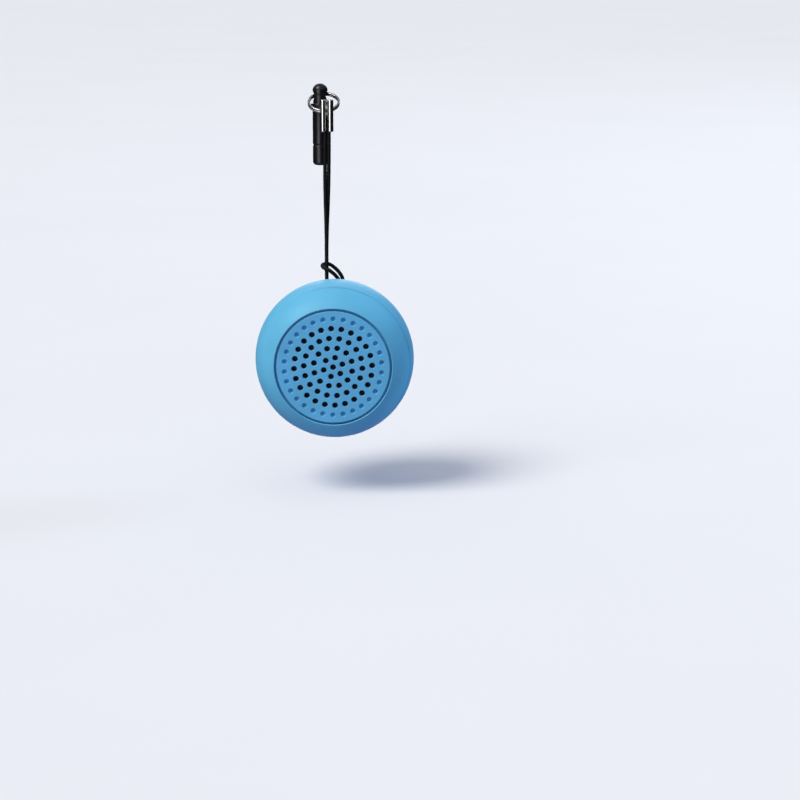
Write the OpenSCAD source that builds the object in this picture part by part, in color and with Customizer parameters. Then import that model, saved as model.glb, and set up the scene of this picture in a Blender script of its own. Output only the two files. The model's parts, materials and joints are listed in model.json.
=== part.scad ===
// Mini ball speaker on a cord lanyard with a headphone-jack plug.
// Origin: plug axis, at the underside of the plug head. +Z up, the grille faces -Y, +X to the right.
// All lengths are in millimetres.

/* [Plug] */
// Diameter of the plug stem that enters the jack
stem_d = 3.5; // [3.3:0.05:3.6]
// Length of the plug stem below the head
stem_len = 13.5; // [9:0.5:15]
// Diameter of the neck under the ball
neck_d = 3.2; // [3.1:0.1:3.8]
// Diameter of the ball on top of the plug
ball_d = 3.5; // [3.4:0.1:5]
// Height of the ball centre above the head's underside
ball_z = 3.25; // [3:0.05:5]
// Diameter of the cross hole for the ring
cross_hole_d = 2.1; // [2:0.1:2.2]
// Height of the cross hole above the head's underside
cross_hole_z = 2.3; // [2:0.05:3]

/* [Split ring] */
// Outer diameter of the split ring
ring_od = 7.3; // [7:0.1:9]
// Width of the wire measured towards the ring's centre
wire_radial = 0.5; // [0.5:0.05:0.7]
// Width of both turns together
wire_axial = 0.9; // [0.8:0.1:1]
// Angle of the ring below horizontal at rest
ring_tilt = 30; // [15:1:40]

/* [Crimp ferrule] */
// Overall width of the ferrule
crimp_w = 3; // [2.9:0.1:3.6]
// Length from the eye's centre to the lower end
crimp_drop = 4.8; // [4.5:0.1:7]
// Length from the eye's centre to the upper end
crimp_rise = 2.5; // [1.6:0.1:2.6]
// Bore of the eye round the ring
eye_bore_d = 1.9; // [1.8:0.1:2.2]
// Outer diameter of the eye
eye_od = 2.9; // [2.7:0.1:3.4]

/* [Cord] */
// Diameter of the cord
cord_d = 0.8; // [0.7:0.05:0.9]
// Height of the hitch where the loop closes round its own strands
hitch_z = -35.9; // [-45:0.1:-30]

/* [Speaker ball] */
// Diameter of the ball
body_d = 36; // [34:0.5:42]
// Wall thickness of the shells
wall = 1.6; // [1.2:0.1:2]
// Depth of the ball's centre behind the grille face
centre_depth = 10.8; // [9:0.1:12]
// Depth of the seam behind the grille face
seam_depth = 5.4; // [4.8:0.1:6]
// Depth of the flat rear face behind the grille face
rear_depth = 24.8; // [24:0.1:26]
// Sideways offset of the ball from the plug axis
ball_x = 3.3; // [0:0.1:5]
// Height of the ball's axis
ball_axis_z = -56.3; // [-70:0.1:-50]

/* [Grille] */
// Diameter of the grille plate
grille_d = 25.3; // [24:0.1:26]
// Thickness of the grille plate
grille_t = 1.2; // [0.8:0.1:1.6]
// Width of the shadow gap round the plate
grille_gap = 0.5; // [0.3:0.05:0.7]
// Diameter of each through hole
hole_d = 1.3; // [1:0.05:1.5]
// Diameter of each blind dimple round the edge
dimple_d = 1.1; // [0.8:0.05:1.4]
// Spacing between rings of holes
ring_pitch = 2.18; // [2:0.02:2.4]
// Number of rings of through holes round the middle one
hole_rings = 4; // [2:1:4]
// Rotation of the hole pattern
hole_phase = 17.5; // [0:0.5:60]

/* [Strap pocket] */
// Depth of the strap pin behind the grille face
pin_depth = 16.4; // [15:0.1:18]
// Height of the strap pin above the ball's axis
pin_up = 14; // [13:0.1:15]
// Diameter of the strap pin
pin_d = 2.8; // [2:0.1:3]
// Width of the pocket across the ball
pocket_w = 9; // [8:0.5:11]
// Length of the pocket along the pin
pocket_l = 5; // [4.5:0.5:6]

/* [Driver] */
// Diameter of the driver's flange
driver_d = 27.6; // [26:0.1:28]
// Radius of the voice coil
coil_r = 6.6; // [6:0.1:7]
// Diameter of the magnet
magnet_d = 12; // [10:0.5:12.4]

/* [Electronics] */
// Diameter of the circuit board
board_d = 23; // [20:0.5:24]
// Thickness of the circuit board
board_t = 0.8; // [0.8:0.2:1.6]
// Width, height and thickness of the battery
battery_w = 20; // [16:0.5:20]
battery_h = 17; // [14:0.5:18]
battery_t = 5; // [3:0.5:6]

/* [Rear controls] */
// Diameter of the rear cover
cover_d = 20.4; // [20:0.1:21]
// Diameter of the push button
button_d = 6.2; // [5:0.1:6.4]
// Travel of the power slider
slider_travel = 2; // [1.5:0.1:2.2]
// How far the foot ring stands proud of the rear cover
foot_proud = 0.8; // [0.5:0.1:1.2]

/* [Hidden] */
$fn = 64;

blue = [0.36, 0.66, 0.84];
black = [0.08, 0.08, 0.09];
steel = [0.75, 0.76, 0.78];
green = [0.08, 0.32, 0.2];
over = 1;          // how far a cut runs past the face it opens

// ring and crimp
ring_r = (ring_od - wire_radial) / 2;
ring_x = 0.9;      // the ring hangs off centre, pulled by the cord
ring_play = 0.48;  // how far the ring's wire sits past the cross hole's axis
ring_v = sqrt(ring_r * ring_r - ring_x * ring_x) - ring_play;
eye_off = 0.8;     // the eye sits this far round from the ring's lowest point
eye_w = 2.2;
eye_play = 0.2;
crimp_x = ring_x + eye_off;
eye_v = ring_v + sqrt(ring_r * ring_r - eye_off * eye_off) - eye_play;
eye_y = -eye_v * cos(ring_tilt);
eye_z = cross_hole_z - eye_v * sin(ring_tilt);
roll_x = 0.82;     // half the spacing of the two rolled sides
roll_r = crimp_w / 2 - roll_x;
roll_y = eye_y - 1;
strand_x = 0.45;   // half the spacing of the two cord bores
strand_y = roll_y + 0.15;
crimp_end = eye_z - crimp_drop;

// cord
cord_r = cord_d / 2;
bend_r = 1.9;      // bend of the cord's centre line round the strap pin
pin_y = -5;
pin_z = ball_axis_z + pin_up;
strand_gap = 0.44; // half the spacing of the strands once they lie together
wrap_gap = 0.5;    // half the spacing of the two wraps along the pin
main_x = ball_x - bend_r;
cord_sides = 8;

// ball
body_r = body_d / 2;
inner_r = body_r - wall;
grille_y = pin_y - pin_depth;
grille_r = grille_d / 2;
bezel_r = grille_r + grille_gap;
lip_r = 12.1;
lip_back = 2.4;
spigot_r = 15.4;
spigot_len = 1.6;
seam_groove = 0.2;
pocket_wall = 1;
pocket_floor = 11.2;
pin_embed = 0.6;

// driver, as depths behind the grille face
flange_front = 2.9;
flange_t = 0.8;
ledge_r = 13;
ledge_t = 0.2;
roll_mid_r = 10.9;
roll_h = 0.9;
skin = 0.2;
yoke_r = 8.2;
yoke_in = 7.2;
yoke_front = 5.6;
yoke_back = 10.4;
yoke_floor = 1.2;
plate_r = 6.2;
plate_t = 1.2;
collar_back = 8.8;

// electronics and rear
pad_t = 0.5;
board_front = 20;
board_back = board_front + board_t;
battery_front = yoke_back + pad_t;
cover_t = 1.2;
cover_front = rear_depth - cover_t;
cover_r = cover_d / 2;
seat_r = 8.3;
seat_t = 1.2;
foot_in = 8.7;
foot_out = 9.9;
foot_bed = 0.5;
screw_r = 0.5;
screw_play = 0.05;
board_screw_at = 9.9;
board_screw_angles = [90, 210, 330];
cover_screw_at = 9.3;
cover_screw_angles = [30, 150, 270];
usb_up = -5.6;
usb_w = 7.6;
usb_h = 2.9;
slider_up = 5.7;
side_x = 5.6;
button_r = button_d / 2;
button_play = 0.05;
plunger_r = 0.8;

// Places children so that their z is depth behind the grille face and their y points down.
module in_ball() { translate([ball_x, grille_y, ball_axis_z]) rotate([-90, 0, 0]) children(); }

// Disc or tube between two depths.
module disc(r, from, to) { translate([0, 0, from]) cylinder(r = r, h = to - from); }
module tube(r_out, r_in, from, to) {
    difference() { disc(r_out, from, to); disc(r_in, from - over, to + over); }
}

// Centred box between two depths.
module slab(w, h, from, to) { translate([-w / 2, -h / 2, from]) cube([w, h, to - from]); }

// Box with four round upright edges, centred in x and y.
module rounded_slab(w, h, r, from, to) {
    slab(w - 2 * r, h, from, to);
    slab(w, h - 2 * r, from, to);
    for (sx = [-1, 1], sy = [-1, 1])
        translate([sx * (w / 2 - r), sy * (h / 2 - r), 0]) disc(r, from, to);
}

// Ball of a given radius about the ball's centre.
module ball(r) { translate([0, 0, centre_depth]) sphere(r = r, $fn = 96); }

// Places children in the plane of the ring, with y pointing from the crimp to the cross hole.
module in_ring() { translate([0, 0, cross_hole_z]) rotate([ring_tilt, 0, 0]) children(); }

// Flexible pieces are round tubes swept along lists of points.
function unit(v) = v / norm(v);
function heading(p, i) = unit(p[min(i + 1, len(p) - 1)] - p[max(i - 1, 0)]);
// Carries a sideways direction along the route without twisting it.
function carried(p, i, s) = i >= len(p) ? [] :
    let (h = heading(p, i), v = unit(s - h * (s * h))) concat([v], carried(p, i + 1, v));
function tube_points(p, r, sides, s) = let (side = carried(p, 0, s))
    [for (i = [0 : len(p) - 1], k = [0 : sides - 1])
        let (a = 360 * k / sides, h = heading(p, i), u = side[i], v = cross(h, u))
        p[i] + r * (cos(a) * u + sin(a) * v)];
module swept(p, r, sides, s) {
    n = len(p);
    faces = concat([[for (k = [0 : sides - 1]) k]],
        [for (i = [0 : n - 2], k = [0 : sides - 1]) let (j = (k + 1) % sides)
            [i * sides + k, (i + 1) * sides + k, (i + 1) * sides + j, i * sides + j]],
        [[for (k = [sides - 1 : -1 : 0]) (n - 1) * sides + k]]);
    polyhedron(points = tube_points(p, r, sides, s), faces = faces, convexity = 6);
}

// Route of the lanyard: down from the crimp, round the pin, round the two main strands, and back.
twist_top = -8;
twist_end = pin_z + 9.5;
function twist_at(f) = f * f * (3 - 2 * f);
function main_strand(side) = concat(
    [[crimp_x + side * strand_x, strand_y, crimp_end + 3],
     [crimp_x + side * strand_x, strand_y, crimp_end + 1]],
    [for (i = [0 : 6]) let (f = i / 6, a = 90 * twist_at(f))
        [crimp_x + (main_x - crimp_x) * f + side * strand_gap * cos(a),
         strand_y + (pin_y - strand_y) * f + side * strand_gap * sin(a),
         twist_top + (twist_end - twist_top) * f]],
    [[main_x, pin_y + side * strand_gap, pin_z + 6.5],
     [main_x, pin_y + side * (strand_gap + 0.02), pin_z + 3.5],
     [main_x, pin_y + side * wrap_gap, pin_z + 1]]);
function under_pin(side) = [for (a = [0 : 22.5 : 180])
    [ball_x - bend_r * cos(a), pin_y + side * wrap_gap, pin_z - bend_r * sin(a)]];
front_leg = [
    [ball_x + 1.8, pin_y - 0.6, pin_z + 1.2],
    [ball_x + 1.2, pin_y - 0.9, pin_z + 2.7],
    [ball_x + 0.2, pin_y - 1.25, pin_z + 4.25],
    [ball_x - 0.7, pin_y - 1.45, pin_z + 5.1]];
back_leg = [
    [ball_x + 1.9, pin_y + 0.6, pin_z + 1.2],
    [ball_x + 1.8, pin_y + 0.9, pin_z + 2.6],
    [ball_x + 1.4, pin_y + 1.15, pin_z + 3.9],
    [ball_x + 0.4, pin_y + 1.4, pin_z + 5.2],
    [ball_x - 0.7, pin_y + 1.5, pin_z + 6.1]];
bight_r = 1.5;
bight_x = 1.9;
bight_arc = [for (a = [0 : 30 : 180])
    [bight_x - bight_r * sin(a), pin_y - bight_r * cos(a),
     hitch_z - 0.33 - 0.42 * cos(a) + 0.3 * sin(a)]];
function reversed(p) = [for (i = [len(p) - 1 : -1 : 0]) p[i]];
cord_route = concat(main_strand(-1), under_pin(-1), front_leg, bight_arc,
    reversed(back_leg), reversed(under_pin(1)), reversed(main_strand(1)));

// Routes of the inner wires, in the ball's own directions.
lead_r = 0.4;
function speaker_lead(s) = [[10.6, s * 1.3, 9.5], [10.8, s * 1.3, 10.4], [12, s * 1.3, 11.8],
    [12.3, s * 1.3, 14], [12, s * 1.3, 16.6], [10.8, s * 1.3, 18.2], [10.3, s * 1.3, 19.2],
    [10.3, s * 1.3, board_front]];
function battery_lead(s) = [[-10, s * 1, 13.4], [-10.8, s * 1, 13.5], [-11.6, s * 1.1, 14.4],
    [-11.8, s * 1.2, 16.2], [-11, s * 1.3, 18.1], [-10.3, s * 1.3, 19.2],
    [-10.3, s * 1.3, board_front]];

module jack_plug() {
    head_fillet = 0.5;
    tip_r = 0.9;
    flange_d = 4.2;
    flange_h = 0.5;
    color(black) difference() {
        union() {
            rotate_extrude() polygon([[0, -stem_len], [tip_r, -stem_len], [stem_d / 2, -stem_len + tip_r],
                [stem_d / 2, 0], [flange_d / 2, 0], [flange_d / 2, flange_h],
                [neck_d / 2, flange_h + 0.3], [neck_d / 2, ball_z - head_fillet],
                [0, ball_z - head_fillet]]);
            translate([0, 0, ball_z]) sphere(r = ball_d / 2);
        }
        translate([0, 0, cross_hole_z]) rotate([0, 90, 0])
            cylinder(d = cross_hole_d, h = ball_d + 2 * over, center = true);
    }
}

module split_ring() {
    bevel = 0.12;
    half = wire_axial / 2;
    notch = 0.1;
    inside = ring_r - wire_radial / 2;
    outside = ring_r + wire_radial / 2;
    color(steel) in_ring() translate([ring_x, -ring_v, 0]) rotate_extrude($fn = 96) polygon([
            [inside, -half + bevel], [inside + bevel, -half], [outside - bevel, -half],
            [outside, -half + bevel], [outside, -notch], [outside - notch, 0], [outside, notch],
            [outside, half - bevel], [outside - bevel, half], [inside + bevel, half],
            [inside, half - bevel], [inside, notch], [inside + notch, 0], [inside, -notch]]);
}

module crimp_ferrule() {
    core_w = 1.8;
    core_front = roll_y - 0.5;
    core_back = roll_y + 0.9;
    bevel = 0.3;
    bore_len = 3.4;
    length = crimp_rise + crimp_drop;
    color(steel) difference() {
        union() {
            translate([crimp_x, eye_y, eye_z]) rotate([0, 90, 0])
                cylinder(d = eye_od, h = eye_w, center = true);
            translate([crimp_x - core_w / 2, core_front, crimp_end + 0.4])
                cube([core_w, core_back - core_front, length - 0.8]);
            for (s = [-1, 1]) translate([crimp_x + s * roll_x, roll_y, crimp_end])
                rotate_extrude() polygon([[0, 0], [roll_r - bevel, 0], [roll_r, bevel],
                    [roll_r, length - bevel], [roll_r - bevel, length], [0, length]]);
        }
        translate([crimp_x, eye_y, eye_z]) rotate([0, 90, 0])
            cylinder(d = eye_bore_d, h = crimp_w + 2 * over, center = true);
        for (s = [-1, 1]) translate([crimp_x + s * strand_x, strand_y, crimp_end - over])
            cylinder(r = cord_r, h = bore_len + over);
    }
}

module lanyard_cord() {
    color(black) swept(cord_route, cord_r, cord_sides, [1, 0, 0]);
}

// The strap pin, and the seat it is moulded into.
module pin_seat() {
    half = pocket_l / 2 + pin_embed;
    translate([0, -pin_up, 0]) disc(pin_d / 2, pin_depth - half, pin_depth + half);
}

module strap_pin() { color(steel) in_ball() pin_seat(); }

module front_shell() {
    // brow between the ball's skin and the grille's rim
    brow_lip = 0.15;
    brow_knee_r = 15.2;
    brow_knee = 1.6;
    brow_end_r = 16.7;
    brow_end = 3.95;
    color(blue) in_ball() {
        difference() {
            intersection() {
                ball(body_r);
                rotate_extrude() polygon([[0, 0], [bezel_r + brow_lip, 0], [brow_knee_r, brow_knee],
                    [brow_end_r, brow_end], [body_r, brow_end], [body_r, seam_depth], [0, seam_depth]]);
            }
            disc(bezel_r, -over, grille_t);
            disc(lip_r, -over, seam_depth + over);
            disc(driver_d / 2 + 0.05, lip_back, seam_depth + over);
            tube(body_r + over, body_r - seam_groove - 0.83, seam_depth - 0.15, seam_depth + over);
        }
        tube(spigot_r, driver_d / 2 + 0.4, seam_depth - 0.4, seam_depth + spigot_len);
    }
}

module rear_shell() {
    collar_r = 12.2;
    collar_front = cover_front - seat_t;
    boss_r = 1.5;
    color(blue) in_ball() difference() {
        intersection() {
            disc(body_r + over, seam_depth, rear_depth);
            ball(body_r);
            union() {
                difference() { ball(body_r + over); ball(inner_r); }
                tube(collar_r, seat_r, collar_front, rear_depth + over);
                for (a = board_screw_angles) rotate(a) translate([board_screw_at, 0, 0])
                    disc(boss_r, board_back, rear_depth);
                translate([0, -pocket_floor - over - 2, 0])
                    slab(pocket_w + 2 * pocket_wall, 2 * (3 + pocket_wall),
                        pin_depth - pocket_l / 2 - pocket_wall, pin_depth + pocket_l / 2 + pocket_wall);
            }
        }
        disc(seat_r, collar_front - over, rear_depth + over);
        disc(cover_r + 0.05, cover_front, rear_depth + over);
        // pocket and the pin's hole
        translate([0, -pocket_floor, pin_depth]) rotate([90, 0, 0])
            slab(pocket_w, pocket_l, 0, body_r);
        pin_seat();
        for (a = board_screw_angles) rotate(a) translate([board_screw_at, 0, 0])
            disc(screw_r + screw_play, board_back - over, board_back + 2.6);
        for (a = cover_screw_angles) rotate(a) translate([cover_screw_at, 0, 0])
            disc(screw_r + screw_play, cover_front - seat_t - over, cover_front + over);
    }
}

module grille_plate() {
    rim = 0.25;
    dimples = 30;
    dimple_depth = 0.8;
    color(blue) in_ball() difference() {
        rotate_extrude() polygon([[0, 0], [grille_r - rim, 0], [grille_r, rim], [grille_r, grille_t],
            [0, grille_t]]);
        disc(hole_d / 2, -over, grille_t + over);
        for (n = [1 : hole_rings], k = [0 : 6 * n - 1])
            rotate(-hole_phase - 60 * k / n) translate([n * ring_pitch, 0, 0])
                disc(hole_d / 2, -over, grille_t + over);
        for (k = [0 : dimples - 1])
            rotate(-hole_phase - 360 * k / dimples) translate([(hole_rings + 1) * ring_pitch, 0, 0])
                rotate_extrude($fn = 32) polygon([[0, dimple_depth], [dimple_d / 4, dimple_depth * 0.85],
                    [dimple_d / 2, 0], [dimple_d / 2, -over], [0, -over]]);
    }
}

module grille_cloth() { color(black) in_ball() disc(lip_r - 0.2, grille_t, grille_t + 0.15); }

module driver_gasket() {
    color(black) in_ball() tube(driver_d / 2, lip_r + 0.1, lip_back, flange_front);
}

module driver_basket() {
    vents = 6;
    vent_at = 10.9;
    vent_r = 1.2;
    color([0.2, 0.2, 0.22]) in_ball() difference() {
        rotate_extrude() polygon([[ledge_r, flange_front], [driver_d / 2, flange_front],
            [driver_d / 2, flange_front + flange_t], [ledge_r, flange_front + flange_t + 0.2],
            [yoke_r + 1, 7.6], [yoke_r + 1, collar_back], [yoke_r, collar_back], [yoke_r, 7.2],
            [lip_r - 0.2, 3.5], [lip_r - 0.2, flange_front + ledge_t],
            [ledge_r, flange_front + ledge_t]]);
        for (k = [0 : vents - 1]) rotate(360 * k / vents + 30) translate([vent_at, 0, 0])
            disc(vent_r, flange_front + ledge_t + 0.5, collar_back);
    }
}

module surround() {
    in_r = roll_mid_r - roll_h;
    out_r = roll_mid_r + roll_h;
    land_front = flange_front;
    color([0.12, 0.12, 0.13]) in_ball() {
        difference() {
            translate([0, 0, land_front + skin / 2]) rotate_extrude()
                translate([roll_mid_r, 0]) circle(r = roll_h, $fn = 48);
            translate([0, 0, land_front + skin / 2]) rotate_extrude()
                translate([roll_mid_r, 0]) circle(r = roll_h - skin, $fn = 48);
            disc(ledge_r, land_front + skin / 2, land_front + 3);
        }
        tube(ledge_r, out_r - skin / 2, land_front, land_front + skin);
        tube(in_r + skin / 2, in_r - 1, land_front, land_front + skin);
    }
}

module cone() {
    rim_front = flange_front + skin;
    neck_back = rim_front + 1.6;
    color([0.16, 0.16, 0.17]) in_ball() rotate_extrude() polygon([[10, rim_front], [9, rim_front],
        [coil_r, neck_back], [coil_r, neck_back + 0.3], [9.1, rim_front + 0.3], [10, rim_front + 0.3]]);
}

module dust_dome() {
    dome_r = 16;
    base = 3.9;
    color([0.1, 0.1, 0.11]) in_ball() difference() {
        intersection() {
            difference() {
                translate([0, 0, base - 1.3 + dome_r]) sphere(r = dome_r, $fn = 96);
                translate([0, 0, base - 1.3 + dome_r]) sphere(r = dome_r - 0.25, $fn = 96);
            }
            disc(coil_r - 0.1, 0, base + 1);
        }
    }
}

module voice_coil() {
    front = 3.85;
    back = 8.2;
    color([0.72, 0.42, 0.2]) in_ball() {
        tube(coil_r, coil_r - 0.1, front, back);
        tube(coil_r + 0.25, coil_r, 5.6, back);
    }
}

module top_plate() { color(steel) in_ball() disc(plate_r, yoke_front, yoke_front + plate_t); }

module magnet() {
    color([0.6, 0.6, 0.62]) in_ball()
        disc(magnet_d / 2, yoke_front + plate_t, yoke_back - yoke_floor);
}

module yoke_cup() {
    color(steel) in_ball() rotate_extrude() polygon([[0, yoke_back - yoke_floor],
        [yoke_in, yoke_back - yoke_floor], [yoke_in, yoke_front], [yoke_r, yoke_front],
        [yoke_r, yoke_back], [0, yoke_back]]);
}

module terminal_strip() {
    color(green) in_ball() translate([10, 0, 0]) slab(3, 4.6, collar_back, collar_back + 0.7);
}

module foam_pad() { color([0.25, 0.25, 0.27]) in_ball() disc(7.5, yoke_back, battery_front); }

module battery() {
    color([0.7, 0.72, 0.75]) in_ball()
        rounded_slab(battery_w, battery_h, 1.5, battery_front, battery_front + battery_t);
}

module circuit_board() {
    color(green) in_ball() difference() {
        disc(board_d / 2, board_front, board_back);
        for (a = board_screw_angles) rotate(a) translate([board_screw_at, 0, 0])
            disc(screw_r + 0.1, board_front - over, board_back + over);
    }
}

module main_chip() {
    color(black) in_ball() translate([0, 3, 0]) slab(5, 5, board_front - 0.9, board_front);
}

module amplifier_chip() {
    color(black) in_ball() translate([-4, -3, 0]) slab(4, 3, board_front - 1, board_front);
}

module passives() {
    color([0.75, 0.66, 0.5]) in_ball() {
        for (x = [2, 3.6, 5.2]) translate([x, -3, 0]) slab(0.8, 1.6, board_front - 0.7, board_front);
        for (x = [-6, -4.4]) translate([x, 3.4, 0]) slab(0.8, 1.6, board_front - 0.7, board_front);
        translate([5.6, 3.2, 0]) slab(2.5, 3.2, board_front - 1.1, board_front);
    }
}

module tact_switch() {
    color([0.2, 0.2, 0.2]) in_ball() difference() {
        slab(3.6, 3.6, board_back, board_back + 1.6);
        disc(plunger_r + button_play, board_back + 0.8, board_back + 3);
    }
}

module tact_plunger() {
    color([0.85, 0.85, 0.82]) in_ball() disc(plunger_r, board_back + 1.2, board_back + 2.05);
}

module button_cap() {
    proud = 0.3;
    color(blue) in_ball() {
        disc(button_r, cover_front - 0.65, rear_depth + proud);
        disc(button_r + 0.6, cover_front - 0.65, cover_front - 0.05);
        disc(1.2, board_back + 2.05, cover_front - 0.6);
    }
}

module usb_socket() {
    shell = 0.3;
    depth = 3.2;
    tongue_w = 4;
    tongue_h = 0.6;
    color(steel) in_ball() translate([0, -usb_up, 0]) {
        difference() {
            rounded_slab(usb_w, usb_h, 0.5, board_back, rear_depth - 0.2);
            rounded_slab(usb_w - 2 * shell, usb_h - 2 * shell, 0.3, rear_depth - depth, rear_depth + over);
        }
        slab(tongue_w, tongue_h, board_back + 0.2, rear_depth - 0.8);
    }
}

module slide_switch() {
    color(steel) in_ball() translate([0, -slider_up, 0]) difference() {
        slab(7.4, 2.8, board_back, board_back + 1.5);
        slab(1.4 + slider_travel + 0.2, 1.5, board_back + 0.7, board_back + 3);
    }
}

module power_slider() {
    lever = 1.3;
    color(black) in_ball() translate([-slider_travel / 2, -slider_up, 0]) {
        slab(lever, lever, board_back + 0.9, cover_front);
        slab(2.6, 1.5, cover_front - 0.45, rear_depth + 0.3);
        slab(3.6, 2.4, cover_front - 0.5, cover_front - 0.1);
    }
}

module indicator_led() {
    color([0.9, 0.9, 0.85]) in_ball() translate([-side_x, 0, 0]) slab(1.6, 0.9, board_back, board_back + 0.7);
}

module light_pipe() {
    color([0.85, 0.92, 1]) in_ball() translate([-side_x, 0, 0]) {
        disc(0.7, board_back + 0.8, rear_depth);
        disc(1.1, cover_front - 0.6, cover_front);
    }
}

module microphone() {
    color(steel) in_ball() translate([side_x + 0.4, 0, 0]) disc(2, board_back, board_back + 1.4);
}

module rear_cover() {
    port_play = 0.2;
    color(blue) in_ball() difference() {
        disc(cover_r, cover_front, rear_depth);
        disc(button_r + button_play, cover_front - over, rear_depth + over);
        tube(foot_out, foot_in, rear_depth - foot_bed, rear_depth + over);
        translate([0, -usb_up, 0]) rounded_slab(usb_w + 2 * port_play, usb_h + 2 * port_play, 0.6,
            cover_front - over, rear_depth + over);
        translate([0, -slider_up, 0])
            slab(2.6 + slider_travel + 0.3, 1.7, cover_front - over, rear_depth + over);
        translate([-side_x, 0, 0]) disc(0.7 + button_play, cover_front - over, rear_depth + over);
        translate([side_x + 0.4, 0, 0]) disc(0.5, cover_front - over, rear_depth + over);
        for (a = cover_screw_angles) rotate(a) translate([cover_screw_at, 0, 0]) {
            disc(screw_r + 0.1, cover_front - over, rear_depth + over);
            disc(0.85, cover_front + 0.3, rear_depth + over);
        }
    }
}

module foot_ring() {
    color(black) in_ball() tube(foot_out - 0.02, foot_in + 0.02, rear_depth - foot_bed,
        rear_depth + foot_proud);
}

module board_screws() {
    color(steel) in_ball() for (a = board_screw_angles) rotate(a) translate([board_screw_at, 0, 0]) {
        disc(screw_r, board_front, board_back + 2.4);
        disc(1, board_front - 0.6, board_front);
    }
}

module cover_screws() {
    color(steel) in_ball() for (a = cover_screw_angles) rotate(a) translate([cover_screw_at, 0, 0]) {
        disc(screw_r, cover_front - seat_t, cover_front + 0.3);
        disc(0.8, cover_front + 0.3, cover_front + 0.65);
    }
}

module speaker_leads() {
    color([0.7, 0.1, 0.1]) in_ball() for (s = [-1, 1]) swept(speaker_lead(s), lead_r, 6, [0, 1, 0]);
}

module battery_leads() {
    color([0.75, 0.1, 0.1]) in_ball() for (s = [-1, 1]) swept(battery_lead(s), lead_r, 6, [0, 1, 0]);
}

jack_plug();
split_ring();
crimp_ferrule();
lanyard_cord();
strap_pin();
front_shell();
rear_shell();
grille_plate();
grille_cloth();
driver_gasket();
driver_basket();
surround();
cone();
dust_dome();
voice_coil();
top_plate();
magnet();
yoke_cup();
terminal_strip();
foam_pad();
battery();
circuit_board();
main_chip();
amplifier_chip();
passives();
tact_switch();
tact_plunger();
button_cap();
usb_socket();
slide_switch();
power_slider();
indicator_led();
light_pipe();
microphone();
rear_cover();
foot_ring();
board_screws();
cover_screws();
speaker_leads();
battery_leads();
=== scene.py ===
import bpy, bmesh, json, math
from mathutils import Vector, Matrix


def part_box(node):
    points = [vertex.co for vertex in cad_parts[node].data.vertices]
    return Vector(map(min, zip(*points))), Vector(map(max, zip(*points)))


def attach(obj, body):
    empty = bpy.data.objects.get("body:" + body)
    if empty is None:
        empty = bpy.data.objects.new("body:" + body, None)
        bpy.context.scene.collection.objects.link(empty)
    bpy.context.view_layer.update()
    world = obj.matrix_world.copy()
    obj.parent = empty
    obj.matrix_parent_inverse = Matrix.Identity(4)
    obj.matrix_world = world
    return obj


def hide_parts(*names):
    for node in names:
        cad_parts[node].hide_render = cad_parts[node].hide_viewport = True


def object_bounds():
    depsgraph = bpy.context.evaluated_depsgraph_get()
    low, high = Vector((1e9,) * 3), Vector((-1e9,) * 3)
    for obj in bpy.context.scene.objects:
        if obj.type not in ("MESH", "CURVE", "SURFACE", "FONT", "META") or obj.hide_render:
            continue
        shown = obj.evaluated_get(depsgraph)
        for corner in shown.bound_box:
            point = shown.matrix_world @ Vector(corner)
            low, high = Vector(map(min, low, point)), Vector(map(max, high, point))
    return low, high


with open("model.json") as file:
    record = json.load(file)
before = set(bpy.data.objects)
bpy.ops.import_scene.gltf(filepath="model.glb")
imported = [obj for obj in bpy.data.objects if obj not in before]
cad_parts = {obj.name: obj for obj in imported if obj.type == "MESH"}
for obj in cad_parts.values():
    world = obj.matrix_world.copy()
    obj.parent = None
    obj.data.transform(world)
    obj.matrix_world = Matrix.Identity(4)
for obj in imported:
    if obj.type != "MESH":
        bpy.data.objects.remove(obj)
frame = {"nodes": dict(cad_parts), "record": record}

# A ball speaker on a cord lanyard with a jack plug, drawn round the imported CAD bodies. Sizes are in mm
# until row() or ball() turns them into metres.
cad_lo, cad_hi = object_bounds()
MM = 0.001
joints = {joint["name"]: joint for joint in frame["record"]["behaviour"]["joints"]}


def V(*numbers):
    return Vector(numbers)


# ---------------------------------------------------------------- where the CAD parts are, in mm
def lowest(node, axis):
    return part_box(node)[0][axis] / MM


def highest(node, axis):
    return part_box(node)[1][axis] / MM


def middle(node, axis):
    low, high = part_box(node)
    return (low[axis] + high[axis]) / 2 / MM


BALL_X, BALL_Z, FACE_Y = middle("grille_plate", 0), middle("grille_plate", 2), lowest("grille_plate", 1)
CRIMP_X = middle("crimp_ferrule", 0)
CRIMP_LOW, CRIMP_TOP = lowest("crimp_ferrule", 2), highest("crimp_ferrule", 2)
PIN_Y, PIN_Z = middle("strap_pin", 1), middle("strap_pin", 2)
PIN_DEPTH = PIN_Y - FACE_Y
STEM_END, HEAD_TOP = lowest("jack_plug", 2), highest("jack_plug", 2)
EYE_Y, EYE_Z = [joints["lanyard_swing"]["pos_m"][axis] / MM for axis in (1, 2)]
HOLE_Z = joints["ring_swing"]["pos_m"][2] / MM

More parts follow.
